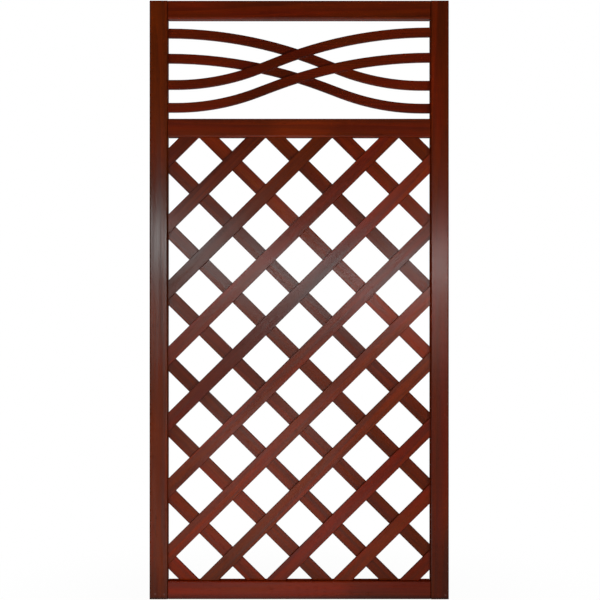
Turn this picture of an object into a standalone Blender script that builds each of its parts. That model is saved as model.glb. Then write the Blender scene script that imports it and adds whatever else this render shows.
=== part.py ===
"""Framed garden trellis panel with a band of curved slats above a diagonal lattice.

Two full-height stiles carry a top, a middle and a bottom rail on blind mortise and tenon joints.
The large lower opening holds two layers of straight slats, which run into a groove round the
opening. The short upper opening holds four S-shaped slats, two in front and two behind, whose
ends sit in pockets in the stiles. Nails driven from the back pin the tenons and hold the curved
slats where they cross.

Metres, Z up. The front faces -Y. The origin is on the ground, midway between the stiles.
"""

import math

import bmesh
import bpy
import numpy as np
from mathutils import Matrix, Vector

for old in list(bpy.data.objects):
    bpy.data.objects.remove(old)

# Panel and frame timber
PANEL_WIDTH = 0.900
PANEL_HEIGHT = 1.800
FRAME_DEPTH = 0.040
STILE_FACE = 0.055
RAIL_FACE = 0.055
BAND_OPENING = 0.300
FRAME_ARRIS = 0.004
END_ARRIS = 0.0015

# Mortise and tenon joints, and the groove that houses the lattice
FIT_GAP = 0.0003
TENON_LENGTH = 0.036
TENON_SHOULDER = 0.010
TENON_CHAMFER = 0.0015
GROOVE_DEPTH = 0.012

# Lattice slats. The centre lines of a layer's outermost slats cut off this much of the opening's
# foot and top, and the others lie evenly between them
SLATS_PER_LAYER = 11
SLAT_CORNER = 0.0635
SLAT_WIDTH = 0.042
SLAT_THICKNESS = 0.008
SLAT_SLOPE = math.radians(44.7)
SLAT_ARRIS = 0.001
SLAT_END_PLAY = 0.001

# Curved slats: their centre lines meet the stiles at a height above the foot of the band's opening
# and a drop below its top, and the bend at the low end is the tighter one
CURVE_WIDTH = 0.0285
CURVE_THICKNESS = 0.015
CURVE_ARRIS = 0.002
CURVE_LOW_RADIUS = 0.680
CURVE_STRAIGHT = 0.060
CURVE_LEAD_IN = 0.024
UPPER_CURVE_FOOT = 0.103
UPPER_CURVE_DROP = 0.039
LOWER_CURVE_FOOT = 0.034
LOWER_CURVE_DROP = 0.115
POCKET_DEPTH = 0.014
CURVE_STEP = math.radians(1.8)

# Nails, all driven from the back
CURVE_NAIL = 0.0020
CURVE_NAIL_HEAD = 0.0050
TENON_NAIL = 0.0028
TENON_NAIL_HEAD = 0.0065
NAIL_HEAD_THICKNESS = 0.0010
NAIL_POINT = 0.002
NAIL_COVER = 0.002
NAIL_SIDES = 12

# A cutter reaches this far past the face that it cuts
OVERCUT = 0.004

# Places that follow from the sizes
OPENING_WIDTH = PANEL_WIDTH - 2 * STILE_FACE
BAND_TOP = PANEL_HEIGHT - RAIL_FACE
BAND_FOOT = BAND_TOP - BAND_OPENING
LATTICE_TOP = BAND_FOOT - RAIL_FACE
LATTICE_FOOT = RAIL_FACE
LATTICE_HEIGHT = LATTICE_TOP - LATTICE_FOOT
LATTICE_CENTRE = (LATTICE_TOP + LATTICE_FOOT) / 2
LATTICE_RUN = OPENING_WIDTH + LATTICE_HEIGHT / math.tan(SLAT_SLOPE) - 2 * SLAT_CORNER
SLAT_SPACING = LATTICE_RUN / (SLATS_PER_LAYER - 1) * math.sin(SLAT_SLOPE)
SLAT_LAYER = (SLAT_THICKNESS + FIT_GAP) / 2
CURVE_LAYER = (CURVE_THICKNESS + FIT_GAP) / 2
GROOVE_WIDTH = 2 * SLAT_THICKNESS + 3 * FIT_GAP
TENON_THICKNESS = GROOVE_WIDTH - 2 * FIT_GAP
LEFT, RIGHT = -1, 1
FRONT, REAR = -1, 1

# The rails: name, foot of the rail, and foot and top of its tenons
RAILS = (
    ("top_rail", BAND_TOP, BAND_TOP + TENON_SHOULDER, PANEL_HEIGHT - TENON_SHOULDER),
    ("mid_rail", LATTICE_TOP, LATTICE_TOP + GROOVE_DEPTH, BAND_FOOT - TENON_SHOULDER),
    ("bottom_rail", 0.0, TENON_SHOULDER, LATTICE_FOOT - GROOVE_DEPTH),
)

# The curved slats: name, and heights of the low and the high end of the centre line
CURVES = (
    ("upper", BAND_FOOT + UPPER_CURVE_FOOT, BAND_TOP - UPPER_CURVE_DROP),
    ("lower", BAND_FOOT + LOWER_CURVE_FOOT, BAND_TOP - LOWER_CURVE_DROP),
)


def srgb(red, green, blue):
    """Linear colour of an 8-bit display colour."""
    display = np.array((red, green, blue)) / 255
    linear = np.where(display <= 0.04045, display / 12.92, ((display + 0.055) / 1.055) ** 2.4)
    return (*linear.tolist(), 1.0)


STILE_STAIN = srgb(96, 50, 40)
RAIL_STAINS = {
    "top_rail": srgb(88, 26, 10),
    "mid_rail": srgb(92, 32, 14),
    "bottom_rail": srgb(106, 42, 30),
}
CURVE_STAIN = srgb(90, 28, 12)
SLAT_STAIN = srgb(92, 42, 34)
ZINC = srgb(150, 150, 148)


def finish(name, colour, roughness, metallic):
    """A material of one colour."""
    material = bpy.data.materials.new(name)
    material.use_nodes = True
    material.diffuse_color = colour
    shader = material.node_tree.nodes["Principled BSDF"]
    shader.inputs["Base Color"].default_value = colour
    shader.inputs["Roughness"].default_value = roughness
    shader.inputs["Metallic"].default_value = metallic
    return material


def wood(name, stain):
    """Stained and varnished timber."""
    return finish(name, stain, roughness=0.42, metallic=0.0)


def zinc_plate(name):
    """Zinc-plated steel of the nails."""
    return finish(name, ZINC, roughness=0.38, metallic=1.0)


def add_object(name, mesh, material=None, parent=None):
    """Link a mesh to the scene as one named object."""
    obj = bpy.data.objects.new(name, mesh)
    bpy.context.scene.collection.objects.link(obj)
    obj.parent = parent
    if material is not None:
        obj.data.materials.append(material)
    return obj


def add_empty(name, height):
    """A point on the panel's centre line that others are placed from."""
    empty = bpy.data.objects.new(name, None)
    bpy.context.scene.collection.objects.link(empty)
    empty.location.z = height
    return empty


def mesh_from(name, bm):
    """Turn a bmesh into a smooth-shaded mesh with its normals out."""
    bmesh.ops.recalc_face_normals(bm, faces=bm.faces)
    mesh = bpy.data.meshes.new(name)
    bm.to_mesh(mesh)
    bm.free()
    mesh.shade_smooth()
    mesh.set_sharp_from_angle(angle=math.radians(35.0))
    return mesh


def add_guide(name, bm, parent=None):
    """A cutter or a trim block, which is no part of the panel."""
    guide = add_object(name, mesh_from(name, bm), parent=parent)
    guide.hide_render = True
    guide.display_type = "WIRE"
    return guide


def carve(obj, guide, operation="DIFFERENCE"):
    boolean = obj.modifiers.new(guide.name, "BOOLEAN")
    boolean.solver = "EXACT"
    boolean.operation = operation
    boolean.object = guide


def ease_edges(obj, width, segments):
    """Round the edges that carry a bevel weight."""
    bevel = obj.modifiers.new("eased edges", "BEVEL")
    bevel.limit_method = "WEIGHT"
    bevel.width = width
    bevel.segments = segments


def add_block(bm, low, high):
    """A box from its lowest to its highest corner."""
    low = Vector(low)
    high = Vector(high)
    place = Matrix.Translation((low + high) / 2) @ Matrix.Diagonal((*(high - low), 1.0))
    bmesh.ops.create_cube(bm, size=1.0, matrix=place)


def board_mesh(name, size, grain, end_weight):
    """A board centred on its origin: long edges fully eased, end edges by end_weight."""
    bm = bmesh.new()
    bmesh.ops.create_cube(bm, size=1.0)
    bmesh.ops.scale(bm, vec=size, verts=bm.verts)
    weight = bm.edges.layers.float.new("bevel_weight_edge")
    for edge in bm.edges:
        run = edge.verts[1].co - edge.verts[0].co
        along_grain = abs(run[grain]) > 0.9 * run.length
        edge[weight] = 1.0 if along_grain else end_weight
    return mesh_from(name, bm)


def add_turned(bm, profile, x=0.0, z=0.0):
    """Spin a profile of (radius, y) points round the line along Y through x and z."""
    centre = Vector((x, 0.0, z))
    verts = [bm.verts.new(centre + Vector((radius, y, 0.0))) for radius, y in profile]
    edges = [bm.edges.new(pair) for pair in zip(verts, verts[1:])]
    bmesh.ops.spin(bm, geom=verts + edges, cent=centre, axis=(0.0, 1.0, 0.0),
                   angle=math.tau, steps=NAIL_SIDES, use_merge=True)
    bmesh.ops.remove_doubles(bm, verts=bm.verts, dist=0.00001)


def add_nails(name, places, shank, head, seat, tip):
    """Nails driven forward, their heads flush with the face at y = seat, and the guide that drills
    their holes and head recesses."""
    radius = shank / 2
    under_head = seat - NAIL_HEAD_THICKNESS
    nail = (
        (0.0, seat),
        (head / 2, seat),
        (head / 2, under_head),
        (radius, under_head),
        (radius, tip + NAIL_POINT),
        (0.0, tip),
    )
    hole = (
        (0.0, seat + OVERCUT),
        (head / 2 + FIT_GAP, seat + OVERCUT),
        (head / 2 + FIT_GAP, under_head - FIT_GAP),
        (radius + FIT_GAP, under_head - FIT_GAP),
        (radius + FIT_GAP, tip - FIT_GAP),
        (0.0, tip - FIT_GAP),
    )
    bm = bmesh.new()
    add_turned(bm, nail)
    mesh = mesh_from(name, bm)
    mesh.materials.append(zinc_plate(name))
    holes = bmesh.new()
    for number, (x, z) in enumerate(places, start=1):
        add_object(f"{name}_{number:02d}", mesh).location = (x, 0.0, z)
        add_turned(holes, hole, x, z)
    return add_guide(name + "_holes", holes)


def curve_line(low, high):
    """Centre line of a rising curved slat, as points (x, z, slope) from the left to the right.

    It leaves the left pocket level, turns up on the low radius, runs straight, and turns level
    again on the high radius at the right stile.
    """
    half = OPENING_WIDTH / 2
    rise = high - low
    run = OPENING_WIDTH - CURVE_LEAD_IN
    radii = (run ** 2 + rise ** 2 - CURVE_STRAIGHT ** 2) / (2 * rise)
    slope = math.asin((radii * run - CURVE_STRAIGHT * (radii - rise)) / (radii ** 2 + CURVE_STRAIGHT ** 2))
    high_radius = radii - CURVE_LOW_RADIUS
    steps = math.ceil(slope / CURVE_STEP)
    in_pocket = POCKET_DEPTH - FIT_GAP
    points = [(-half - in_pocket, low, 0.0)]
    for step in range(steps + 1):
        turn = slope * step / steps
        x = CURVE_LEAD_IN - half + CURVE_LOW_RADIUS * math.sin(turn)
        points.append((x, low + CURVE_LOW_RADIUS * (1 - math.cos(turn)), turn))
    for step in range(steps + 1):
        turn = slope * (1 - step / steps)
        x = half - high_radius * math.sin(turn)
        points.append((x, high - high_radius * (1 - math.cos(turn)), turn))
    points.append((half + in_pocket, high, 0.0))
    return points


def curved_slat_mesh(name, low, high):
    """A rising curved slat: a rectangle swept along the centre line, its long edges to be eased."""
    bm = bmesh.new()
    weight = bm.edges.layers.float.new("bevel_weight_edge")
    corners = [(across * CURVE_WIDTH / 2, depth * CURVE_THICKNESS / 2)
               for across, depth in ((-1, -1), (1, -1), (1, 1), (-1, 1))]
    rings = []
    for x, z, slope in curve_line(low, high):
        across_line = Vector((-math.sin(slope), 0.0, math.cos(slope)))
        centre = Vector((x, 0.0, z))
        rings.append([bm.verts.new(centre + across_line * across + Vector((0.0, depth, 0.0)))
                      for across, depth in corners])
    for ring, following in zip(rings, rings[1:]):
        for corner in range(len(corners)):
            beside = (corner + 1) % len(corners)
            bm.faces.new((ring[corner], ring[beside], following[beside], following[corner]))
            bm.edges.get((ring[corner], following[corner]))[weight] = 1.0
    bm.faces.new(rings[0])
    bm.faces.new(rings[-1])
    return mesh_from(name, bm)


def curve_crossing(rising, falling):
    """Where the centre line of a rising slat meets that of a falling slat, as (x, z)."""
    xs, zs, _ = zip(*curve_line(*rising))
    mirror_xs, mirror_zs, _ = zip(*curve_line(*falling))
    left = -OPENING_WIDTH / 2
    right = OPENING_WIDTH / 2
    for _ in range(40):
        middle = (left + right) / 2
        if np.interp(middle, xs, zs) < np.interp(-middle, mirror_xs, mirror_zs):
            left = middle
        else:
            right = middle
    return left, float(np.interp(left, xs, zs))


def lattice_plate(name, depth, thickness, parent):
    """A plate that fills the lattice opening and reaches depth into the frame all round."""
    half_width = OPENING_WIDTH / 2 + depth
    half_height = LATTICE_HEIGHT / 2 + depth
    bm = bmesh.new()
    add_block(bm, (-half_width, -thickness / 2, -half_height), (half_width, thickness / 2, half_height))
    return add_guide(name, bm, parent)


def build_lattice(lattice):
    """Both layers of slats, trimmed to the groove."""
    slat_length = math.hypot(OPENING_WIDTH, LATTICE_HEIGHT) + 2 * SLAT_WIDTH
    size = (slat_length, SLAT_THICKNESS, SLAT_WIDTH)
    trim = lattice_plate("lattice_trim", GROOVE_DEPTH - SLAT_END_PLAY, FRAME_DEPTH, lattice)
    for layer, layer_name in ((FRONT, "front"), (REAR, "rear")):
        for number in range(SLATS_PER_LAYER):
            name = f"{layer_name}_slat_{number + 1:02d}"
            slat = add_object(name, board_mesh(name, size, grain=0, end_weight=0.0),
                              wood(name, SLAT_STAIN), lattice)
            from_centre = (number - (SLATS_PER_LAYER - 1) / 2) * SLAT_SPACING
            slat.rotation_euler.y = layer * SLAT_SLOPE
            slat.location = (from_centre * math.sin(SLAT_SLOPE), layer * SLAT_LAYER,
                             layer * from_centre * math.cos(SLAT_SLOPE))
            ease_edges(slat, SLAT_ARRIS, segments=2)
            carve(slat, trim, "INTERSECT")


def build_curved_band():
    """The four curved slats and the nails at their crossings."""
    crossings = [curve_crossing(rising[1:], falling[1:]) for rising in CURVES for falling in CURVES]
    back = CURVE_LAYER + CURVE_THICKNESS / 2
    holes = add_nails("curve_nail", crossings, CURVE_NAIL, CURVE_NAIL_HEAD, back, NAIL_COVER - back)
    for level, low, high in CURVES:
        for layer, layer_name in ((FRONT, "front"), (REAR, "rear")):
            name = f"curved_slat_{level}_{layer_name}"
            slat = add_object(name, curved_slat_mesh(name, low, high), wood(name, CURVE_STAIN))
            slat.location.y = layer * CURVE_LAYER
            slat.rotation_euler.z = 0.0 if layer == FRONT else math.pi
            ease_edges(slat, CURVE_ARRIS, segments=2)
            carve(slat, holes)


def tenon_nail_places():
    """Two nails through each tenon, one high and near the shoulder, one low and deeper in."""
    places = []
    for _, _, tenon_foot, tenon_top in RAILS:
        middle = (tenon_foot + tenon_top) / 2
        offset = (tenon_top - tenon_foot) / 4
        for side in (LEFT, RIGHT):
            shoulder = OPENING_WIDTH / 2
            places.append((side * (shoulder + TENON_LENGTH / 3), middle + offset))
            places.append((side * (shoulder + TENON_LENGTH * 2 / 3), middle - offset))
    return places


def add_mortises(bm, side):
    """The three mortises of a stile, each the size of its tenon and the fitting gap."""
    half = TENON_THICKNESS / 2 + FIT_GAP
    edge = OPENING_WIDTH / 2
    inner, outer = sorted((side * (edge - OVERCUT), side * (edge + TENON_LENGTH + FIT_GAP)))
    for _, _, tenon_foot, tenon_top in RAILS:
        add_block(bm, (inner, -half, tenon_foot - FIT_GAP), (outer, half, tenon_top + FIT_GAP))


def add_pockets(bm, side):
    """The four pockets of a stile that house the ends of the curved slats."""
    half_height = CURVE_WIDTH / 2 + FIT_GAP
    half_depth = CURVE_THICKNESS / 2 + FIT_GAP
    edge = OPENING_WIDTH / 2
    inner, outer = sorted((side * (edge - OVERCUT), side * (edge + POCKET_DEPTH)))
    for _, low, high in CURVES:
        for layer in (FRONT, REAR):
            height = low if side == layer else high
            depth = layer * CURVE_LAYER
            add_block(bm, (inner, depth - half_depth, height - half_height),
                      (outer, depth + half_depth, height + half_height))


def tenon_bar(name, tenon_foot, tenon_top):
    """A bar with chamfered ends that runs through a rail and leaves a tenon at each end."""
    size = (OPENING_WIDTH + 2 * TENON_LENGTH, TENON_THICKNESS, tenon_top - tenon_foot)
    bar = add_object(name, board_mesh(name, size, grain=0, end_weight=1.0))
    bar.location.z = (tenon_foot + tenon_top) / 2
    bar.hide_render = True
    bar.display_type = "WIRE"
    ease_edges(bar, TENON_CHAMFER, segments=1)
    return bar


def build_frame(lattice):
    """Stiles and rails, grooved round the lattice and joined by nailed tenons."""
    groove = lattice_plate("groove", GROOVE_DEPTH, GROOVE_WIDTH, lattice)
    tenon_tip = NAIL_COVER - TENON_THICKNESS / 2
    holes = add_nails("tenon_nail", tenon_nail_places(), TENON_NAIL, TENON_NAIL_HEAD,
                      FRAME_DEPTH / 2, tenon_tip)
    end_weight = END_ARRIS / FRAME_ARRIS

    for side, name in ((LEFT, "left_stile"), (RIGHT, "right_stile")):
        size = (STILE_FACE, FRAME_DEPTH, PANEL_HEIGHT)
        stile = add_object(name, board_mesh(name, size, grain=2, end_weight=end_weight),
                           wood(name, STILE_STAIN))
        stile.location = (side * (PANEL_WIDTH - STILE_FACE) / 2, 0.0, PANEL_HEIGHT / 2)
        sockets = bmesh.new()
        add_mortises(sockets, side)
        add_pockets(sockets, side)
        ease_edges(stile, FRAME_ARRIS, segments=3)
        carve(stile, add_guide(name + "_sockets", sockets))
        carve(stile, groove)
        carve(stile, holes)

    for name, foot, tenon_foot, tenon_top in RAILS:
        size = (OPENING_WIDTH - 2 * FIT_GAP, FRAME_DEPTH, RAIL_FACE)
        rail = add_object(name, board_mesh(name, size, grain=0, end_weight=end_weight),
                          wood(name, RAIL_STAINS[name]))
        rail.location.z = foot + RAIL_FACE / 2
        ease_edges(rail, FRAME_ARRIS, segments=3)
        carve(rail, groove)
        carve(rail, tenon_bar(name + "_tenons", tenon_foot, tenon_top), "UNION")
        carve(rail, holes)


lattice_empty = add_empty("lattice", LATTICE_CENTRE)
build_frame(lattice_empty)
build_curved_band()
build_lattice(lattice_empty)
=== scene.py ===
import math
import random

import bmesh
import bpy
from mathutils import Matrix, Vector


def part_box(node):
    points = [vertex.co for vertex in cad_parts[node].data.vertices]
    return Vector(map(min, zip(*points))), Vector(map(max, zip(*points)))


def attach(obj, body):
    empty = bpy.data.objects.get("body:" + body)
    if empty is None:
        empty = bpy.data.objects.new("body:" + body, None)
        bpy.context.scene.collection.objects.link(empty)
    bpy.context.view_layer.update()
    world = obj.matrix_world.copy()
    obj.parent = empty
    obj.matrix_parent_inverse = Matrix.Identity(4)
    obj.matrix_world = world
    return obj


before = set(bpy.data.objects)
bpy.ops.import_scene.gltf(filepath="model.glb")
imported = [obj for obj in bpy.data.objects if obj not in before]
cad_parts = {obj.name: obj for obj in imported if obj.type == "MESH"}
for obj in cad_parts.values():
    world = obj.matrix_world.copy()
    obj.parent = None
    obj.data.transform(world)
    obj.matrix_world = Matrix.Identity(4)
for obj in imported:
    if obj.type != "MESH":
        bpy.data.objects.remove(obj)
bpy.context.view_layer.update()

# Stiles: two planed softwood posts as tall as the panel, with every long edge rounded over. They were
# dipped in mahogany stain and varnished satin. The grain runs upright, and the sawn ends drank more
# stain than the faces.
STILE_GRAIN = math.radians(-90.0)
STILE_RINGS = 0.0072
STILE_EDGE = 0.0045
# Painted shade darkens the stiles' feet up to this height over the floor.
STILE_FOOT_SHADE = 0.011
PANEL_FRONT = -0.020
FOOT_MARKS = ((-0.4328, 0.0160, 0.0048), (-0.4059, 0.0150, 0.0044), (0.4392, 0.0125, 0.0042))


def add(tree, kind, inputs=None, **settings):
    """Place a shader node, set it up, and set or connect its inputs."""
    node = tree.nodes.new("ShaderNode" + kind)
    for setting, value in settings.items():
        setattr(node, setting, value)
    for socket, value in (inputs or {}).items():
        if isinstance(value, bpy.types.NodeSocket):
            tree.links.new(value, node.inputs[socket])
        else:
            node.inputs[socket].default_value = value
    return node


def calc(tree, operation, *values):
    """The result of one Math node."""
    return add(tree, "Math", dict(enumerate(values)), operation=operation).outputs[0]


def sum_up(tree, start, *shares):
    """A start value plus each mask or noise times its share."""
    total = start
    for mask, share in shares:
        total = calc(tree, "MULTIPLY_ADD", mask, share, total)
    return total


def fade(tree, value, start, end, low=0.0, high=1.0):
    """A soft step from low at start to high at end."""
    inputs = {"Value": value, "From Min": start, "From Max": end, "To Min": low, "To Max": high}
    return add(tree, "MapRange", inputs, interpolation_type="SMOOTHSTEP").outputs["Result"]


def stretched_noise(tree, vector, stretch, detail=2.0, roughness=0.5):
    """Noise around a half, with its own count of grains a metre along X, Y and Z."""
    scaled = add(tree, "VectorMath", {0: vector, 1: stretch}, operation="MULTIPLY").outputs[0]
    inputs = {"Vector": scaled, "Scale": 1.0, "Detail": detail, "Roughness": roughness}
    return add(tree, "TexNoise", inputs).outputs["Fac"]


def blend_colours(tree, factor, first, second, mode="MIX"):
    """Two colours put together by one Mix node."""
    inputs = {0: factor, 6: first, 7: second}
    return add(tree, "Mix", inputs, data_type="RGBA", blend_type=mode).outputs[2]


def new_group(name, takes, gives, usual=None):
    """A node group with named inputs and outputs: its tree, what it takes, and its output node.

    usual holds the values of those inputs that a material may leave alone.
    """
    tree = bpy.data.node_groups.new(name, "ShaderNodeTree")
    for label, kind in takes:
        socket = tree.interface.new_socket(label, in_out="INPUT", socket_type="NodeSocket" + kind)
        if usual and label in usual:
            socket.default_value = usual[label]
    for label, kind in gives:
        tree.interface.new_socket(label, in_out="OUTPUT", socket_type="NodeSocket" + kind)
    return tree, tree.nodes.new("NodeGroupInput").outputs, tree.nodes.new("NodeGroupOutput")


def close_group(tree, given, results):
    """Connect a group's results to its output node, and give back its tree."""
    for label, value in results.items():
        tree.links.new(value, given.inputs[label])
    return tree


LOG_TAPER = 0.006
RING_RIPPLE = 0.0014


def growth_rings():
    """Year rings round a heart beside the board, wandering as the tree grew: 1 in the late wood."""
    tree, taken, given = new_group(
        "Growth rings",
        (("Vector", "Vector"), ("Heart", "Vector"), ("Ring Width", "Float"), ("Wander", "Float")),
        (("Late Wood", "Float"),))
    here = taken["Vector"]
    wander = calc(tree, "SUBTRACT", stretched_noise(tree, here, (1.3, 8.0, 8.0)), 0.5)
    ripple = calc(tree, "SUBTRACT", stretched_noise(tree, here, (9.0, 90.0, 90.0), detail=1.0), 0.5)
    from_heart = add(tree, "VectorMath", {0: here, 1: taken["Heart"]}, operation="SUBTRACT")
    along, depth, across = add(tree, "SeparateXYZ", {0: from_heart.outputs[0]}).outputs
    square = calc(tree, "MULTIPLY_ADD", depth, depth, calc(tree, "MULTIPLY", across, across))
    radius = sum_up(tree, calc(tree, "SQRT", square), (along, LOG_TAPER), (wander, taken["Wander"]),
                    (ripple, RING_RIPPLE))
    ring = calc(tree, "DIVIDE", radius, taken["Ring Width"])
    share = calc(tree, "FRACT", ring)
    rise = fade(tree, share, 0.15, 0.82)
    fall = fade(tree, share, 0.88, 1.0, 1.0, 0.0)
    year = add(tree, "TexWhiteNoise", {"W": calc(tree, "FLOOR", ring)}, noise_dimensions="1D")
    growth = calc(tree, "MULTIPLY_ADD", year.outputs["Value"], 0.55, 0.45)
    late = calc(tree, "MULTIPLY", calc(tree, "MULTIPLY", rise, fall), growth)
    return close_group(tree, given, {"Late Wood": late})


def wood_fibres():
    """Long thin fibres, and the short open pores between them."""
    tree, taken, given = new_group(
        "Wood fibres", (("Vector", "Vector"),), (("Fibre", "Float"), ("Pores", "Float")))
    here = taken["Vector"]
    fibre = stretched_noise(tree, here, (7.0, 420.0, 420.0), detail=3.0, roughness=0.65)
    dashes = stretched_noise(tree, here, (38.0, 1700.0, 1700.0), detail=0.0)
    drifts = stretched_noise(tree, here, (5.0, 60.0, 60.0), detail=1.0)
    pores = calc(tree, "MULTIPLY", fade(tree, dashes, 0.62, 0.74), fade(tree, drifts, 0.38, 0.62))
    return close_group(tree, given, {"Fibre": fibre, "Pores": pores})


def board_edges():
    """Nearness to a board's edges within a reach, and to its sawn ends, from its centred place."""
    tree, taken, given = new_group(
        "Board edges",
        (("Vector", "Vector"), ("Half Size", "Vector"), ("Reach", "Float")),
        (("Edge", "Float"), ("End Grain", "Float")))
    here = taken["Vector"]
    folded = add(tree, "VectorMath", {0: here}, operation="ABSOLUTE").outputs[0]
    inside = add(tree, "VectorMath", {0: taken["Half Size"], 1: folded}, operation="SUBTRACT")
    along, depth, across = add(tree, "SeparateXYZ", {0: inside.outputs[0]}).outputs
    least = calc(tree, "MINIMUM", along, depth)
    most = calc(tree, "MAXIMUM", along, depth)
    middle = calc(tree, "MAXIMUM", least, calc(tree, "MINIMUM", most, across))
    uneven = calc(tree, "MULTIPLY_ADD", stretched_noise(tree, here, (14.0, 120.0, 120.0)), 1.2, 0.4)
    reach = calc(tree, "MULTIPLY", uneven, taken["Reach"])
    edge = fade(tree, calc(tree, "DIVIDE", middle, reach), 0.1, 1.0, 1.0, 0.0)
    end = fade(tree, along, 0.0, 0.0012, 1.0, 0.0)
    return close_group(tree, given, {"Edge": edge, "End Grain": end})


EARLY_BROWN = (0.148, 0.0183, 0.0007, 1.0)
LATE_BROWN = (0.060, 0.0080, 0.0006, 1.0)
EARLY_RED = (0.200, 0.0138, 0.0012, 1.0)
LATE_RED = (0.084, 0.0061, 0.0007, 1.0)
SOAKED_WOOD = (0.022, 0.0032, 0.0010, 1.0)
# Painted light on faces that look down.
UNDERSIDE_BOUNCE_LIGHT = (1.55, 1.55, 1.55, 1.0)


def mahogany_stain():
    """Red-brown stain: pale in early wood, nearly black in pores, edges and end grain, with painted bounce
    light from the floor on faces that look down.
    """
    tree, taken, given = new_group(
        "Mahogany stain",
        (("Vector", "Vector"), ("Late Wood", "Float"), ("Fibre", "Float"), ("Pores", "Float"),
         ("Edge", "Float"), ("End Grain", "Float"), ("Normal", "Vector"), ("Tone", "Float"),
         ("Redness", "Float")),
        (("Color", "Color"),))
    here = taken["Vector"]
    fibre = calc(tree, "SUBTRACT", taken["Fibre"], 0.5)
    cloud = calc(tree, "SUBTRACT", stretched_noise(tree, here, (2.4, 16.0, 16.0)), 0.5)
    patch = calc(tree, "SUBTRACT", stretched_noise(tree, here, (3.6, 34.0, 34.0), detail=1.0), 0.5)
    depth = sum_up(tree, 0.24, (taken["Late Wood"], 0.42), (fibre, 1.0), (cloud, 1.25))
    brown = blend_colours(tree, depth, EARLY_BROWN, LATE_BROWN)
    red = blend_colours(tree, depth, EARLY_RED, LATE_RED)
    colour = blend_colours(tree, sum_up(tree, taken["Redness"], (patch, 1.8)), brown, red)
    dark = 0.0
    for thirsty, share in (("Pores", 0.45), ("Edge", 0.55), ("End Grain", 0.60)):
        dark = calc(tree, "MAXIMUM", dark, calc(tree, "MULTIPLY", taken[thirsty], share))
    colour = blend_colours(tree, dark, colour, SOAKED_WOOD)
    # Faces that look down are painted lighter, as if lit from below by the white floor.
    upward = add(tree, "SeparateXYZ", {0: taken["Normal"]}).outputs[2]
    bounce_lit = fade(tree, upward, -0.80, -0.25, 1.0, 0.0)
    colour = blend_colours(tree, bounce_lit, colour, UNDERSIDE_BOUNCE_LIGHT, "MULTIPLY")
    tone = add(tree, "CombineColor", {socket: taken["Tone"] for socket in range(3)}).outputs[0]
    return close_group(tree, given, {"Color": blend_colours(tree, 1.0, colour, tone, "MULTIPLY")})


def satin_varnish():
    """Brushed varnish: thick on broad, outer and lower faces, thin on rounded edges and inner sides.

    Outer is the way the piece's outer side faces, Sides the share that the inner sides have, and
    Brushing how strongly the brush marks and fibres show. Coat is how much varnish lies there,
    Roughness is that of the wood under it, and Height its skin.
    """
    tree, taken, given = new_group(
        "Satin varnish",
        (("Vector", "Vector"), ("Normal", "Vector"), ("Late Wood", "Float"), ("Fibre", "Float"),
         ("Pores", "Float"), ("Edge", "Float"), ("End Grain", "Float"), ("Thickness", "Float"),
         ("Sides", "Float"), ("Brushing", "Float"), ("Outer", "Vector")),
        (("Coat", "Float"), ("Roughness", "Float"), ("Height", "Float")),
        {"Thickness": 1.0, "Brushing": 1.0})
    here = taken["Vector"]
    _, outward, upward = add(tree, "SeparateXYZ", {0: taken["Normal"]}).outputs
    outside = add(tree, "VectorMath", {0: taken["Normal"], 1: taken["Outer"]},
                  operation="DOT_PRODUCT").outputs["Value"]
    facing = calc(tree, "MAXIMUM", calc(tree, "ABSOLUTE", outward), outside)
    face = fade(tree, facing, 0.45, 0.90)
    under = fade(tree, upward, -0.90, -0.50, 0.80, 0.0)
    coat = calc(tree, "MAXIMUM", calc(tree, "MAXIMUM", face, under), taken["Sides"])
    brushed = stretched_noise(tree, here, (3.0, 150.0, 150.0))
    mottle = stretched_noise(tree, here, (120.0, 270.0, 270.0), detail=1.0)
    rubbed = stretched_noise(tree, here, (11.0, 40.0, 40.0))
    strokes = sum_up(tree, -0.22, (taken["Fibre"], 0.24), (brushed, 0.20))
    film = calc(tree, "MULTIPLY_ADD", strokes, taken["Brushing"], 0.24)
    film = sum_up(tree, film, (mottle, 0.08), (taken["Pores"], -0.20), (taken["Late Wood"], 0.08),
                  (taken["Edge"], -0.10))
    coat = calc(tree, "MULTIPLY", calc(tree, "MULTIPLY", coat, film), taken["Thickness"])
    rough = sum_up(tree, 0.40, (taken["Fibre"], 0.20), (rubbed, 0.10), (taken["Pores"], 0.18),
                   (taken["Edge"], 0.10), (taken["End Grain"], 0.30))
    height = sum_up(tree, 0.0, (brushed, 0.25), (taken["Fibre"], 0.55), (taken["Late Wood"], 0.25),
                    (mottle, 0.32), (taken["Pores"], -0.60))
    return close_group(tree, given, {"Coat": coat, "Roughness": rough, "Height": height})


RINGS = growth_rings()
FIBRES = wood_fibres()
EDGES = board_edges()
STAIN = mahogany_stain()
VARNISH = satin_varnish()


def use_group(tree, group, inputs):
    """Place a node group, set or connect its inputs, and give back its outputs."""
    return add(tree, "Group", inputs, node_tree=group).outputs


def start_material(name):
    """A new material: its node tree and its shader."""
    material = bpy.data.materials.new(name)
    material.use_nodes = True
    tree = material.node_tree
    return material, tree, tree.nodes["Principled BSDF"]


VARNISH_DULLNESS = 0.16
BRUSH_DEPTH = 0.0004


def varnish_over(tree, shader, colour, skin, dullness=VARNISH_DULLNESS):
    """Put stained wood and its varnish on a material's shader."""
    tree.links.new(colour, shader.inputs["Base Color"])
    tree.links.new(skin["Roughness"], shader.inputs["Roughness"])
    tree.links.new(skin["Coat"], shader.inputs["Coat Weight"])
    shader.inputs["Coat Roughness"].default_value = dullness
    shader.inputs["Specular IOR Level"].default_value = 0.0
    bump = add(tree, "Bump", {"Strength": 0.35, "Distance": BRUSH_DEPTH, "Height": skin["Height"]})
    tree.links.new(bump.outputs["Normal"], shader.inputs["Normal"])


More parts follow.
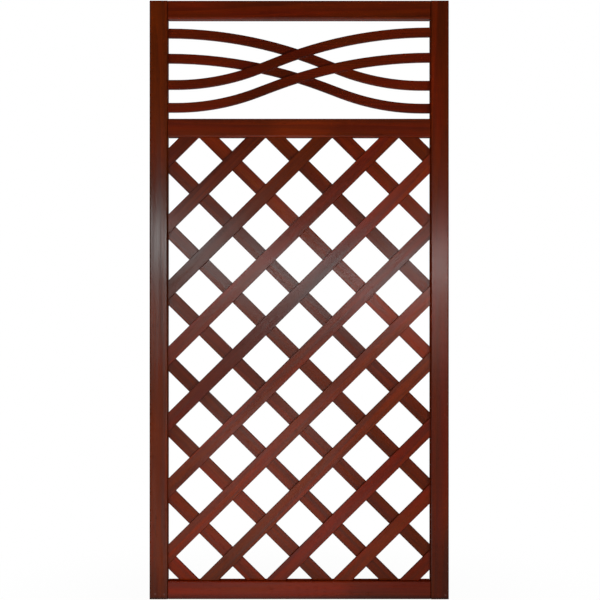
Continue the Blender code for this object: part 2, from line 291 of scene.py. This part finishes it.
# The dark tint multiplied into the darker stretches and into the painted shade at the feet.
DARKENING_TINT = (0.29, 0.42, 0.50, 1.0)
# How dark the painted shade at the feet is right at the floor.
FOOT_SHADE_STRENGTH = 0.80


def darker_stretches(tree, board, colour, stretches):
    """Stretches painted darker, some of them painted shade: middle and half length along a board, fade,
    strength.
    """
    along = add(tree, "SeparateXYZ", {0: board}).outputs[0]
    for middle, half_length, soft, strength in stretches:
        distance = calc(tree, "ABSOLUTE", calc(tree, "SUBTRACT", along, middle))
        deeper = fade(tree, distance, half_length, half_length + soft, strength, 0.0)
        colour = blend_colours(tree, deeper, colour, DARKENING_TINT, "MULTIPLY")
    return colour


def painted_foot_shade(tree, place, colour, reach):
    """Painted shade at the foot, darkest at the floor and gone at reach over it."""
    height = add(tree, "SeparateXYZ", {0: place}).outputs[2]
    foot_shade = fade(tree, height, 0.001, reach, FOOT_SHADE_STRENGTH, 0.0)
    return blend_colours(tree, foot_shade, colour, DARKENING_TINT, "MULTIPLY")


RING_WANDER = 0.014


def timber_looks(tree, board, normal, rings, cut, edge, end_grain):
    """What stain and varnish go by: rings, fibres and pores where the board was cut from its log.

    rings are their width and where the heart lies beside the board, in depth and across.
    """
    in_log = add(tree, "VectorMath", {0: board, 1: cut}, operation="ADD").outputs[0]
    width, depth, across = rings
    heart = (cut[0], cut[1] + depth, cut[2] + across)
    late = use_group(tree, RINGS, {"Vector": in_log, "Heart": heart, "Ring Width": width,
                                   "Wander": RING_WANDER})["Late Wood"]
    fibres = use_group(tree, FIBRES, {"Vector": in_log})
    return {"Vector": in_log, "Normal": normal, "Late Wood": late, "Fibre": fibres["Fibre"],
            "Pores": fibres["Pores"], "Edge": edge, "End Grain": end_grain}


def stained_board(name, centre, turn, half_size, rings, edge, cut, stain, varnish,
                  dullness=VARNISH_DULLNESS, stretches=(), foot_shade_reach=None):
    """Stained, varnished timber for a straight board that lies at centre, turned about Y.

    cut moves the board to its own place in the log, edge is how far its edges are darker, and stain and
    varnish are the board's own values for those groups. It gives back the material, its tree and its
    colour.
    """
    material, tree, shader = start_material(name)
    coordinates = add(tree, "TexCoord").outputs
    board = add(tree, "Mapping", {"Vector": coordinates["Object"], "Location": centre,
                                  "Rotation": (0.0, turn, 0.0)}, vector_type="TEXTURE").outputs["Vector"]
    edges = use_group(tree, EDGES, {"Vector": board, "Half Size": half_size, "Reach": edge})
    looks = timber_looks(tree, board, coordinates["Normal"], rings, cut, edges["Edge"], edges["End Grain"])
    colour = use_group(tree, STAIN, {**looks, **stain})["Color"]
    colour = darker_stretches(tree, board, colour, stretches)
    # Painted shade near the floor, up to the given height.
    if foot_shade_reach:
        colour = painted_foot_shade(tree, coordinates["Object"], colour, foot_shade_reach)
    skin = use_group(tree, VARNISH, {**looks, **varnish})
    varnish_over(tree, shader, colour, skin, dullness)
    return material, tree, colour


def dress(node, material):
    """Give a CAD piece its finished material."""
    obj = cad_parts[node]
    obj.data.materials.clear()
    obj.data.materials.append(material)


def middle_and_half(node):
    """Centre and half size of a CAD piece's box."""
    low, high = (Vector(corner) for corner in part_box(node))
    return (low + high) / 2, (high - low) / 2


FILLED_WOOD = (0.125, 0.052, 0.042, 1.0)
FILLED_CORE = 0.35
FILLED_STRENGTH = 0.55


def filled_marks(tree, shader, colour, marks):
    """Small filled and stained-over places low on a stile's front face."""
    place = add(tree, "TexCoord").outputs["Object"]
    total = 0.0
    for x, z, radius in marks:
        away = add(tree, "VectorMath", {0: place, 1: (x, PANEL_FRONT, z)}, operation="DISTANCE")
        spot = fade(tree, away.outputs["Value"], radius * FILLED_CORE, radius, 1.0, 0.0)
        total = calc(tree, "ADD", spot, total)
    mixed = blend_colours(tree, calc(tree, "MULTIPLY", total, FILLED_STRENGTH), colour, FILLED_WOOD)
    tree.links.new(mixed, shader.inputs["Base Color"])


# Each stile's last stretch, low at its foot, is painted shade by the floor, and the left stile's first one is
# painted shade at shoulder height.
for node, heart, cut, tone, redness, brushing, sides, stretches in (
        ("left_stile", (0.055, 0.012), (0.3, 0.11, 0.27), 0.93, -0.10, 2.2, 0.22,
         ((0.225, 0.08, 0.19, 0.58), (0.40, 0.68, 0.16, 0.30), (-0.90, 0.02, 0.10, 0.30))),
        ("right_stile", (0.070, -0.020), (2.7, 0.47, 0.83), 0.77, 0.50, 0.7, 0.05,
         ((0.70, 0.50, 0.20, 0.22), (-0.48, 0.24, 0.16, 0.26), (-0.90, 0.06, 0.18, 0.45)))):
    centre, half = middle_and_half(node)
    timber, tree, colour = stained_board(
        node, centre, STILE_GRAIN, (half.z, half.y, half.x), (STILE_RINGS, *heart), STILE_EDGE, cut,
        {"Tone": tone, "Redness": redness},
        {"Outer": (math.copysign(1.0, centre.x), 0.0, 0.0), "Sides": sides, "Brushing": brushing},
        stretches=stretches, foot_shade_reach=STILE_FOOT_SHADE)
    marks = [mark for mark in FOOT_MARKS if abs(mark[0] - centre.x) < half.x]
    filled_marks(tree, tree.nodes["Principled BSDF"], colour, marks)
    dress(node, timber)

# Rails: three planed boards let into the stiles with tenons, a top one, one under the curved band and
# one at the foot. They are of the same timber and stain as the stiles, with the grain lying level.
RAIL_RINGS = 0.0070
RAIL_EDGE = 0.0016
# Painted shade darkens the bottom rail's foot up to this height over the floor.
RAIL_FOOT_SHADE = 0.021

for node, heart, cut, tone, redness, stretches in (
        ("top_rail", (0.090, 0.030), (5.1, 0.21, 0.34), 0.67, 0.50, ((-0.14, 0.04, 0.10, 0.24),)),
        ("mid_rail", (0.050, -0.018), (7.4, 0.66, 0.12), 0.94, 0.45,
         ((-0.25, 0.14, 0.07, 0.48), (0.25, 0.12, 0.08, 0.36))),
        ("bottom_rail", (0.062, 0.024), (9.2, 0.38, 0.91), 0.91, 0.90, ((0.34, 0.16, 0.07, 0.38),))):
    centre, half = middle_and_half(node)
    timber, _, _ = stained_board(
        node, centre, 0.0, half, (RAIL_RINGS, *heart), RAIL_EDGE, cut,
        {"Tone": tone, "Redness": redness}, {"Outer": (0.0, 0.0, 1.0 if node == "top_rail" else 0.0)},
        stretches=stretches, foot_shade_reach=RAIL_FOOT_SHADE if node == "bottom_rail" else None)
    dress(node, timber)

# Lattice: two layers of eleven thin sawn and planed slats, which cross nearly at right angles and run
# into the frame's groove. Each slat came out of another log, so tone and redness change with the slat,
# and ten of them are painted darker along long stretches.
SLAT_TURN = math.radians(44.7)
SLAT_HALF_SIZE = (2.0, 0.004, 0.021)  # longer than they are: their ends are hidden in the groove
SLAT_RINGS = 0.0066
SLAT_EDGE = 0.0026
SLAT_DULLNESS = 0.18
SLAT_VARNISH = {"front": 0.78, "rear": 0.68}
SLAT_TONE = 0.80
SLAT_TONE_SPREAD = 0.04
TONES_APART = {
    0.64: ("front_slat_01", "front_slat_02", "front_slat_11"),
    0.71: ("front_slat_03", "front_slat_04", "rear_slat_06", "rear_slat_07", "rear_slat_11"),
    0.86: ("front_slat_09", "front_slat_10"),
    0.95: ("front_slat_06", "rear_slat_02", "rear_slat_09"),
    1.04: ("front_slat_08", "rear_slat_03", "rear_slat_04", "rear_slat_05"),
    1.11: ("front_slat_05", "rear_slat_01"),
    1.25: ("front_slat_07", "rear_slat_08")}
SLAT_REDNESS = (0.20, 0.45)
REDNESS_APART = {
    0.35: ("front_slat_04", "front_slat_05", "front_slat_09", "front_slat_10", "front_slat_11",
           "rear_slat_01"),
    -0.25: ("front_slat_02", "front_slat_03", "front_slat_08", "rear_slat_04", "rear_slat_06",
            "rear_slat_07", "rear_slat_09")}
SLAT_STRETCHES = {
    "front_slat_03": ((-0.10, 0.10, 0.35, 0.66),),
    "front_slat_05": ((-0.05, 0.22, 0.40, 0.80),),
    "front_slat_06": ((-0.14, 0.05, 0.14, 0.24), (0.50, 0.10, 0.24, 0.36)),
    "front_slat_07": ((0.00, 0.24, 0.12, 0.26),),
    "front_slat_08": ((-0.70, 0.10, 0.30, 0.44),),
    "rear_slat_03": ((-0.14, 0.05, 0.16, 0.42), (0.55, 0.08, 0.22, 0.42)),
    "rear_slat_04": ((-0.20, 0.14, 0.22, 0.58), (0.70, 0.06, 0.26, 0.56)),
    "rear_slat_05": ((-0.25, 0.18, 0.26, 0.56), (0.62, 0.14, 0.26, 0.60)),
    "rear_slat_08": ((-0.14, 0.06, 0.12, 0.46), (-0.55, 0.04, 0.15, 0.36)),
    "rear_slat_09": ((-0.24, 0.14, 0.22, 0.46),)}
SLAT_LAYER = 0.00415
SLATS_PER_LAYER = 11
SLAT_SEED = 41
SLAT_STEP = 0.2012
SLAT_DROP = SLAT_STEP * math.tan(SLAT_TURN)
LATTICE_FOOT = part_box("bottom_rail")[1][2]
LATTICE_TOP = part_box("mid_rail")[0][2]
LATTICE_CENTRE = (LATTICE_FOOT + LATTICE_TOP) / 2


def value_apart(groups, node, usual):
    """The value of the group that a slat is in, or else the usual one."""
    return next((value for value, nodes in groups.items() if node in nodes), usual)


logs = random.Random(SLAT_SEED)
for layer, side in (("rear", 1), ("front", -1)):
    for number in range(SLATS_PER_LAYER):
        node = f"{layer}_slat_{number + 1:02d}"
        from_middle = (number - (SLATS_PER_LAYER - 1) / 2) / 2
        centre = (from_middle * SLAT_STEP, side * SLAT_LAYER, LATTICE_CENTRE + side * from_middle * SLAT_DROP)
        heart = (logs.uniform(0.03, 0.11), logs.uniform(-0.03, 0.03))
        cut = (logs.uniform(0, 20), logs.uniform(0, 5), logs.uniform(0, 5))
        tone = value_apart(TONES_APART, node, SLAT_TONE)
        tone += logs.uniform(-SLAT_TONE_SPREAD, SLAT_TONE_SPREAD)
        redness = value_apart(REDNESS_APART, node, 0.0) + logs.uniform(*SLAT_REDNESS)
        timber, _, _ = stained_board(
            node, centre, side * SLAT_TURN, SLAT_HALF_SIZE, (SLAT_RINGS, *heart), SLAT_EDGE, cut,
            {"Tone": tone, "Redness": redness}, {"Thickness": SLAT_VARNISH[layer]}, SLAT_DULLNESS,
            SLAT_STRETCHES.get(node, ()))
        dress(node, timber)

# Lattice nails: one short flat-headed nail at each crossing, driven from the back through the rear
# slat into the front one. They are zinc plated steel, and no two heads sit quite alike.
NAIL_HEAD_RADIUS = 0.0026
NAIL_HEAD_HEIGHT = 0.0007
NAIL_SEED = 17
NAIL_LEAN = 4.0  # degrees
NAIL_DRIFT = 0.002
ZINC_DARK = (0.36, 0.36, 0.36, 1.0)
ZINC_BRIGHT = (0.50, 0.50, 0.49, 1.0)
ZINC_BLOOM = (0.20, 0.185, 0.17, 1.0)
SLAT_BACK = 0.00815
CLEAR_OF_FRAME = 0.012
OPENING_HALF = -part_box("left_stile")[1][0]


def dull_zinc():
    """Zinc plate gone dull: small crystals and a grey bloom."""
    tree, taken, given = new_group(
        "Dull zinc", (("Vector", "Vector"),),
        (("Color", "Color"), ("Roughness", "Float"), ("Height", "Float")))
    here = taken["Vector"]
    crystals = add(tree, "TexVoronoi", {"Vector": here, "Scale": 1900.0}).outputs["Color"]
    crystals = add(tree, "SeparateColor", {0: crystals}).outputs[0]
    bloom = stretched_noise(tree, here, (420.0, 420.0, 420.0), detail=3.0)
    grey = blend_colours(tree, crystals, ZINC_DARK, ZINC_BRIGHT)
    grey = blend_colours(tree, fade(tree, bloom, 0.45, 0.75), grey, ZINC_BLOOM)
    rough = sum_up(tree, 0.22, (bloom, 0.35))
    height = sum_up(tree, 0.0, (bloom, 0.7), (crystals, 0.3))
    return close_group(tree, given, {"Color": grey, "Roughness": rough, "Height": height})


def zinc_plate(name):
    """Zinc plated steel, for nails."""
    material, tree, shader = start_material(name)
    place = add(tree, "TexCoord").outputs["Object"]
    zinc = use_group(tree, ZINC, {"Vector": place})
    tree.links.new(zinc["Color"], shader.inputs["Base Color"])
    tree.links.new(zinc["Roughness"], shader.inputs["Roughness"])
    shader.inputs["Metallic"].default_value = 1.0
    bump = add(tree, "Bump", {"Strength": 0.3, "Distance": 0.0001, "Height": zinc["Height"]})
    tree.links.new(bump.outputs["Normal"], shader.inputs["Normal"])
    return material


def lattice_crossings():
    """Where a front slat's centre line meets a rear one's, clear of the frame."""
    reach_x = OPENING_HALF - CLEAR_OF_FRAME
    reach_z = (LATTICE_TOP - LATTICE_FOOT) / 2 - CLEAR_OF_FRAME
    columns = int(reach_x / SLAT_STEP * 2)
    rows = int(reach_z / SLAT_DROP * 2)
    for column in range(-columns, columns + 1):
        for row in range(-rows, rows + 1):
            if (column + row) % 2 == 0:
                yield column * SLAT_STEP / 2, LATTICE_CENTRE + row * SLAT_DROP / 2


def nail_heads(name, places):
    """Flat round heads with a soft rim and a slightly sunk middle, each a little askew."""
    hammer = random.Random(NAIL_SEED)
    rim = ((0.0, 0.80), (0.40, 0.82), (0.74, 0.98), (0.88, 1.0), (0.97, 0.85), (1.0, 0.5), (1.0, -0.6))
    bm = bmesh.new()
    for x, z in places:
        profile = [bm.verts.new((radius * NAIL_HEAD_RADIUS, height * NAIL_HEAD_HEIGHT, 0.0))
                   for radius, height in rim]
        edges = [bm.edges.new(pair) for pair in zip(profile, profile[1:])]
        bmesh.ops.spin(bm, geom=profile + edges, cent=(0, 0, 0), axis=(0, 1, 0),
                       angle=math.tau, steps=24, use_merge=True)
        fresh = [vert for vert in bm.verts if not vert.tag]
        lean = Matrix.Rotation(math.radians(hammer.uniform(-NAIL_LEAN, NAIL_LEAN)), 4, "X")
        lean = lean @ Matrix.Rotation(math.radians(hammer.uniform(-NAIL_LEAN, NAIL_LEAN)), 4, "Z")
        place = Vector((x + hammer.uniform(-NAIL_DRIFT, NAIL_DRIFT), SLAT_BACK,
                        z + hammer.uniform(-NAIL_DRIFT, NAIL_DRIFT)))
        bmesh.ops.transform(bm, matrix=Matrix.Translation(place) @ lean, verts=fresh)
        for vert in fresh:
            vert.tag = True
    bmesh.ops.remove_doubles(bm, verts=bm.verts, dist=0.00001)
    bmesh.ops.recalc_face_normals(bm, faces=bm.faces)
    mesh = bpy.data.meshes.new(name)
    bm.to_mesh(mesh)
    bm.free()
    mesh.shade_smooth()
    obj = bpy.data.objects.new(name, mesh)
    bpy.context.scene.collection.objects.link(obj)
    return obj


ZINC = dull_zinc()
lattice_nails = nail_heads("lattice_nails", list(lattice_crossings()))
lattice_nails.data.materials.append(zinc_plate("lattice_nails"))
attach(lattice_nails, "root")

# Curved slats: four thick slats sawn to an S from straight boards, two rising in front and two
# falling behind, with their ends let into the stiles. The grain lies level and runs out at the bends.
CURVE_RINGS = 0.0060
CURVE_REDNESS = 0.75
# Painted shade in the middle of each curved slat, where the curved slats cross.
CURVE_CROSSING_SHADE = ((-0.06, 0.07, 0.12, 0.34),)


def rounded_edges():
    """The rounded long edges of a curved slat, told by their slanting faces."""
    tree, taken, given = new_group("Rounded edges", (("Normal", "Vector"),), (("Edge", "Float"),))
    _, depth, _ = add(tree, "SeparateXYZ", {0: taken["Normal"]}).outputs
    facing = calc(tree, "ABSOLUTE", depth)
    edge = calc(tree, "MULTIPLY", fade(tree, facing, 0.05, 0.30), fade(tree, facing, 0.90, 0.99, 1.0, 0.0))
    return close_group(tree, given, {"Edge": edge})


ROUNDED = rounded_edges()


def sawn_curve(name, centre, rings, cut, tone):
    """Stained, varnished timber for a slat sawn to a curve out of a level board."""
    material, tree, shader = start_material(name)
    coordinates = add(tree, "TexCoord").outputs
    board = add(tree, "VectorMath", {0: coordinates["Object"], 1: centre}, operation="SUBTRACT").outputs[0]
    edge = use_group(tree, ROUNDED, {"Normal": coordinates["Normal"]})["Edge"]
    looks = timber_looks(tree, board, coordinates["Normal"], rings, cut, edge, 0.0)
    colour = use_group(tree, STAIN, {**looks, "Tone": tone, "Redness": CURVE_REDNESS})["Color"]
    colour = darker_stretches(tree, board, colour, CURVE_CROSSING_SHADE)
    varnish_over(tree, shader, colour, use_group(tree, VARNISH, looks))
    return material


for node, heart, cut, tone in (
        ("curved_slat_upper_rear", (0.06, 0.15), (11.3, 0.9, 1.7), 0.65),
        ("curved_slat_lower_rear", (0.08, -0.12), (12.9, 2.3, 0.6), 0.61),
        ("curved_slat_upper_front", (0.05, 0.13), (14.2, 1.4, 2.2), 0.63),
        ("curved_slat_lower_front", (0.09, -0.14), (15.8, 3.1, 1.1), 0.66)):
    centre, _ = middle_and_half(node)
    dress(node, sawn_curve(node, centre, (CURVE_RINGS, *heart), cut, tone))

# Nails of the frame and of the curved band: zinc plated, driven from the back, with their heads
# flush in small recesses. Two hold each tenon, and one holds each crossing of the curved slats.
frame_nail_plate = zinc_plate("frame_nails")
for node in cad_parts:
    if node.startswith(("tenon_nail", "curve_nail")):
        dress(node, frame_nail_plate)

# Floor: a wide white studio floor. Away from the panel it is as white as the background, and close
# to the panel it keeps the soft shadow. The varnish mirrors a painted pool of light in front of the panel.
FLOOR_HALF = 14.0
FLOOR_DROP = 0.0005
FLOOR_PAINT = (0.82, 0.82, 0.81, 1.0)
WHITE = (1.0, 1.0, 1.0, 1.0)
SHADOW_FROM, SHADOW_TO = 0.1, 1.2
WHITE_AT_PANEL = 0.955
FLOOR_LIGHT = 0.52
# A painted pool of light that the floor shows only in reflections, on top of its even dim glow.
POOL_MIDDLE = (-0.117, -1.75, 0.0)
POOL_REACH = (0.40, 1.30, 1.0)
POOL_LIGHT = 2.6


def white_floor():
    """White paint under the panel: the camera sees it white, the varnish sees a painted pool of light."""
    material, tree, shader = start_material("white_floor")
    shader.inputs["Base Color"].default_value = FLOOR_PAINT
    shader.inputs["Roughness"].default_value = 0.9
    shader.inputs["Specular IOR Level"].default_value = 0.0
    place = add(tree, "TexCoord").outputs["Object"]
    near = add(tree, "VectorMath", {0: place}, operation="LENGTH").outputs["Value"]
    rays = add(tree, "LightPath").outputs
    background = calc(tree, "MAXIMUM", rays["Is Camera Ray"], rays["Is Transmission Ray"])
    white_share = fade(tree, near, SHADOW_FROM, SHADOW_TO, WHITE_AT_PANEL, 1.0)
    share = calc(tree, "MULTIPLY", background, white_share)
    share = calc(tree, "MAXIMUM", share, rays["Is Glossy Ray"])
    from_pool = add(tree, "VectorMath", {0: place, 1: POOL_MIDDLE}, operation="SUBTRACT").outputs[0]
    from_pool = add(tree, "VectorMath", {0: from_pool, 1: POOL_REACH}, operation="DIVIDE").outputs[0]
    outward = add(tree, "VectorMath", {0: from_pool}, operation="LENGTH").outputs["Value"]
    mirrored = calc(tree, "ADD", fade(tree, outward, 0.0, 2.0, POOL_LIGHT, 0.0), FLOOR_LIGHT)
    strength = calc(tree, "MULTIPLY_ADD", calc(tree, "SUBTRACT", mirrored, 1.0), rays["Is Glossy Ray"], 1.0)
    white = add(tree, "Emission", {"Color": WHITE, "Strength": strength})
    both = add(tree, "MixShader", {0: share, 1: shader.outputs[0], 2: white.outputs[0]})
    tree.links.new(both.outputs[0], tree.nodes["Material Output"].inputs["Surface"])
    return material


floor_mesh = bpy.data.meshes.new("floor")
floor_mesh.from_pydata([(-FLOOR_HALF, -FLOOR_HALF, 0.0), (FLOOR_HALF, -FLOOR_HALF, 0.0),
                        (FLOOR_HALF, FLOOR_HALF, 0.0), (-FLOOR_HALF, FLOOR_HALF, 0.0)], [], [(0, 1, 2, 3)])
floor_mesh.materials.append(white_floor())
floor = bpy.data.objects.new("floor", floor_mesh)
floor.location.z = -FLOOR_DROP
bpy.context.scene.collection.objects.link(floor)

# Room: white behind the panel and wherever the camera looks, dim grey in front, as in a studio with
# its lamps on stands. It also gives the panel plain, even light from all round.
ROOM_LIGHT = 0.26
ROOM_FRONT = 0.06

world = bpy.data.worlds.new("studio")
bpy.context.scene.world = world
world.use_nodes = True
tree = world.node_tree
tree.nodes.clear()
direction = add(tree, "TexCoord").outputs["Generated"]
_, backward, _ = add(tree, "SeparateXYZ", {0: direction}).outputs
rays = add(tree, "LightPath").outputs
behind = fade(tree, backward, -0.05, 0.25)
mirrored = calc(tree, "MULTIPLY", rays["Is Glossy Ray"], behind)
seen = calc(tree, "MAXIMUM", rays["Is Camera Ray"], rays["Is Transmission Ray"])
seen = calc(tree, "MAXIMUM", seen, mirrored)
dim = calc(tree, "MULTIPLY_ADD", rays["Is Glossy Ray"], ROOM_FRONT - ROOM_LIGHT, ROOM_LIGHT)
lit = add(tree, "Background", {"Color": WHITE, "Strength": dim})
white = add(tree, "Background", {"Color": WHITE, "Strength": 1.0})
both = add(tree, "MixShader", {0: seen, 1: lit.outputs[0], 2: white.outputs[0]})
output = add(tree, "OutputWorld")
tree.links.new(both.outputs[0], output.inputs["Surface"])

# Lamps: two long strips in a shallow V behind the camera, with a broad dim one under them, which give
# the varnish its soft glare. There is a soft lamp low on each side, the right one stronger, a dim one
# near the floor that the foot of the panel mirrors, and a broad one that lights the back.
STRIP_DISTANCE = 4.60


def soft_lamp(name, place, target, width, height, brightness, tilt=0.0):
    """An area lamp that looks from its place to a target, its brightness as seen from in front."""
    light = bpy.data.lights.new(name, "AREA")
    light.shape = "RECTANGLE"
    light.size = width
    light.size_y = height
    light.energy = brightness * math.pi * width * height
    lamp = bpy.data.objects.new(name, light)
    lamp.location = place
    aim = (Vector(target) - Vector(place)).to_track_quat("-Z", "Y")
    lamp.rotation_mode = "QUATERNION"
    lamp.rotation_quaternion = aim @ Matrix.Rotation(tilt, 3, "Z").to_quaternion()
    lamp.visible_camera = False
    bpy.context.scene.collection.objects.link(lamp)
    return lamp


soft_lamp("glare_left", (-0.65, -STRIP_DISTANCE, 1.235), (-0.65, 0.0, 1.135),
          width=1.36, height=0.20, brightness=22.5, tilt=math.radians(-16.8))
soft_lamp("glare_right", (0.70, -STRIP_DISTANCE, 1.135), (0.70, 0.0, 1.035),
          width=1.41, height=0.20, brightness=20.3, tilt=math.radians(7.8))
soft_lamp("glare_below", (0.05, -STRIP_DISTANCE, 0.87), (0.05, 0.0, 0.80),
          width=2.6, height=0.68, brightness=3.0)
soft_lamp("low_key", (2.30, -3.70, 0.15), (0.0, 0.0, 0.60), width=0.7, height=0.7, brightness=44.0)
soft_lamp("low_fill", (-1.50, -2.20, 0.16), (-0.1, 0.0, 0.40), width=0.6, height=0.6, brightness=15.0)
soft_lamp("floor_glow", (-0.16, -3.10, 0.21), (-0.16, 0.0, 0.45),
          width=0.82, height=0.34, brightness=4.3)
back_light = soft_lamp("back_light", (0.8, 4.00, 1.80), (0.0, 0.0, 0.90),
                       width=2.4, height=2.0, brightness=4.6)
back_light.visible_glossy = False

# Camera: straight in front, a little to the left of the panel's middle and under it. The panel's height
# fills the picture.
VIEW_DISTANCE = 3.90
VIEW_WIDTH = 1.8030
VIEW_MIDDLE_X, VIEW_MIDDLE_Z = 0.0024, 0.8998
CAMERA_X, CAMERA_Z = -0.028, 0.885

lens = bpy.data.cameras.new("camera")
lens.sensor_fit = "HORIZONTAL"
lens.angle = 2 * math.atan(VIEW_WIDTH / 2 / VIEW_DISTANCE)
camera = bpy.data.objects.new("camera", lens)
camera.location = (CAMERA_X, PANEL_FRONT - VIEW_DISTANCE, CAMERA_Z)
camera.rotation_euler = (math.radians(90.0), 0.0, 0.0)
lens.shift_x = (VIEW_MIDDLE_X - CAMERA_X) / VIEW_WIDTH
lens.shift_y = (VIEW_MIDDLE_Z - CAMERA_Z) / VIEW_WIDTH
bpy.context.scene.collection.objects.link(camera)
bpy.context.scene.camera = camera
bpy.context.scene.view_settings.view_transform = "Standard"
